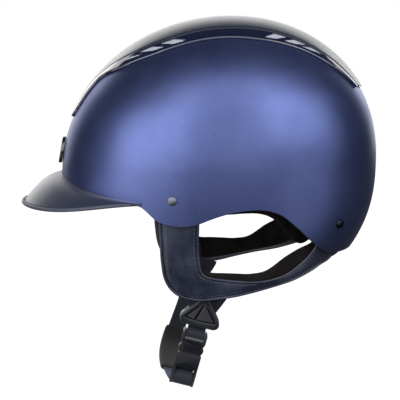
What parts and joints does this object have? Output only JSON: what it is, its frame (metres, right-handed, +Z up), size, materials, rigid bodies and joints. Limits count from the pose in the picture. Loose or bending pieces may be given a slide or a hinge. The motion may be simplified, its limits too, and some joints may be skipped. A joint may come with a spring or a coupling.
{
  "type": "equestrian riding helmet",
  "caption": "Domed riding helmet with a short moulded peak, raised crown panel between gloss vent strips, leather harness and a buckled chin strap that swings and opens.",
  "frame": {"origin": "centre of the crown pad's lower face, where the top of the wearer's head meets the helmet", "axes": "+Z up, -X towards the peak, -Y towards the wearer's left"},
  "size_m": [0.3027, 0.216, 0.3075],
  "materials": {
    "shell_paint": "matte metallic navy",
    "crown_paint": "matte dark navy",
    "gloss_trim": "piano gloss, very dark navy",
    "peak_paint": "matte navy",
    "edge_rubber": "matt black",
    "satin_metal": "dark satin",
    "badge_plastic": "gloss",
    "foam": "moulded bead foam",
    "lining_fabric": "brushed velour",
    "harness_leather": "smooth stitched leather",
    "webbing": "woven tape",
    "sleeve_fabric": "ribbed knit",
    "buckle_plastic": "satin moulded"
  },
  "bodies": {
    "helmet": {"outer_shell": "shell_paint", "crown_panel": "crown_paint", "left_gloss_trim": "gloss_trim", "right_gloss_trim": "gloss_trim", "peak": "peak_paint", "peak_edge_bead": "edge_rubber", "badge_ring": "satin_metal", "badge_disc": "badge_plastic", "foam_liner": "foam", "headband_pad": "lining_fabric", "crown_pad": "lining_fabric", "left_harness_leather": "harness_leather", "right_harness_leather": "harness_leather", "left_harness_lining": "lining_fabric", "right_harness_lining": "lining_fabric", "nape_leather": "harness_leather", "nape_lining": "lining_fabric", "screw_front_left": "satin_metal", "screw_rear_left": "satin_metal", "screw_front_right": "satin_metal", "screw_rear_right": "satin_metal", "nut_front_left": "satin_metal", "nut_rear_left": "satin_metal", "nut_front_right": "satin_metal", "nut_rear_right": "satin_metal"},
    "chin_loop": {"left_strap_fork": "webbing", "right_strap_fork": "webbing", "buckle_socket": "buckle_plastic"},
    "left_divider": {"left_strap_divider": "buckle_plastic"},
    "right_divider": {"right_strap_divider": "buckle_plastic"},
    "chin_strap": {"chin_webbing": "webbing", "chin_sleeve": "sleeve_fabric", "buckle_plug": "buckle_plastic"},
    "front_prong": {"buckle_front_prong": "buckle_plastic"},
    "rear_prong": {"buckle_rear_prong": "buckle_plastic"}
  },
  "joints": [
    {"name": "chin_loop_swing", "type": "hinge", "parent": "helmet", "child": "chin_loop", "pos_m": [-0.0246, 0, -0.195], "axis": [0, 1, 0], "range_deg": [-40, 35]},
    {"name": "chin_strap_open", "type": "hinge", "parent": "chin_loop", "child": "chin_strap", "pos_m": [-0.03175, 0.07338, -0.22168], "axis": [0.9659, 0, -0.2588], "range_deg": [0, 75]},
    {"name": "left_divider_slide", "type": "slide", "parent": "chin_loop", "child": "left_divider", "axis": [0.2553, -0.165, 0.9527], "range_m": [-0.0023, 0.0035]},
    {"name": "right_divider_slide", "type": "slide", "parent": "chin_loop", "child": "right_divider", "axis": [0.2553, 0.165, 0.9527], "range_m": [-0.0004, 0.0035]},
    {"name": "front_prong_squeeze", "type": "hinge", "parent": "chin_strap", "child": "front_prong", "pos_m": [-0.04568, -0.06818, -0.25011], "axis": [0.0427, 0.9863, 0.1594], "range_deg": [0, 10], "stiffness_Nm_per_rad": 0.1},
    {"name": "rear_prong_squeeze", "type": "hinge", "parent": "chin_strap", "child": "rear_prong", "pos_m": [-0.0339, -0.06818, -0.25326], "axis": [0.0427, 0.9863, 0.1594], "range_deg": [-10, 0], "stiffness_Nm_per_rad": 0.1}
  ],
  "couplings": [
    {"joint": "rear_prong_squeeze", "follows": "front_prong_squeeze", "ratio": -1}
  ]
}
